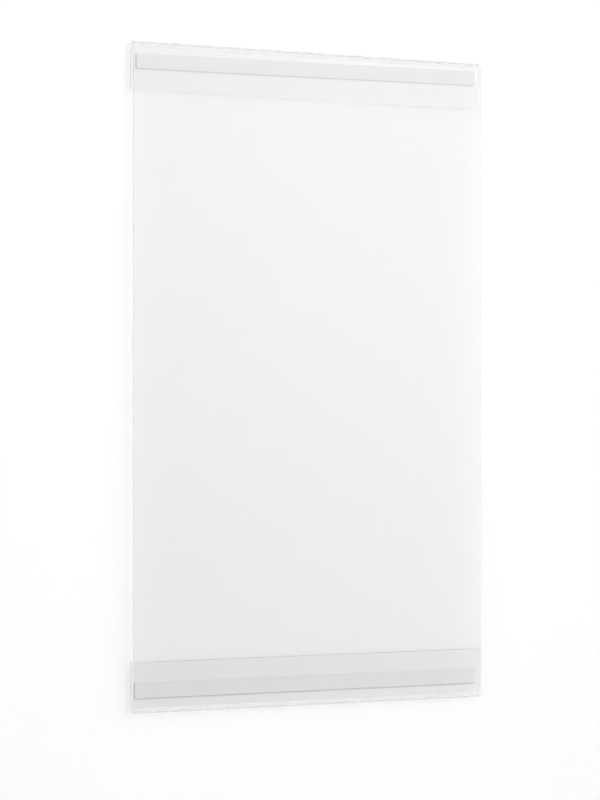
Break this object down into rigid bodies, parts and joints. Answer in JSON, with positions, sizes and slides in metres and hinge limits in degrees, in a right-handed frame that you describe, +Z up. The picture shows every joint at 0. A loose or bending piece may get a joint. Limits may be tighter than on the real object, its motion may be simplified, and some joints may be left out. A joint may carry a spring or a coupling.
{
  "type": "adhesive display pocket",
  "caption": "Clear upright wall pocket for one A4 sheet: a folded plastic sheet, open at both sides, held to the wall by two foam tape strips behind its flaps.",
  "frame": {"origin": "the middle of the pocket's width and height, in the plane of the wall that its tapes stick to", "axes": "+Z up along the pocket's height, -Y out of the front panel towards the viewer, +Y into the wall, +X to the right seen from the front"},
  "size_m": [0.213, 0.004, 0.3028],
  "materials": {
    "clear_plastic": "clear, smooth and glossy on both faces, with polished cut ends",
    "tape_foam": "white closed-cell foam, matt",
    "adhesive": "thin tacky coat of adhesive, satin"
  },
  "bodies": {
    "root": {"front_panel": "clear_plastic", "upper_bend": "clear_plastic", "upper_flap": "clear_plastic", "lower_bend": "clear_plastic", "lower_flap": "clear_plastic", "upper_tape_flap_adhesive": "adhesive", "upper_tape_foam": "tape_foam", "upper_tape_wall_adhesive": "adhesive", "lower_tape_flap_adhesive": "adhesive", "lower_tape_foam": "tape_foam", "lower_tape_wall_adhesive": "adhesive"}
  },
  "joints": []
}
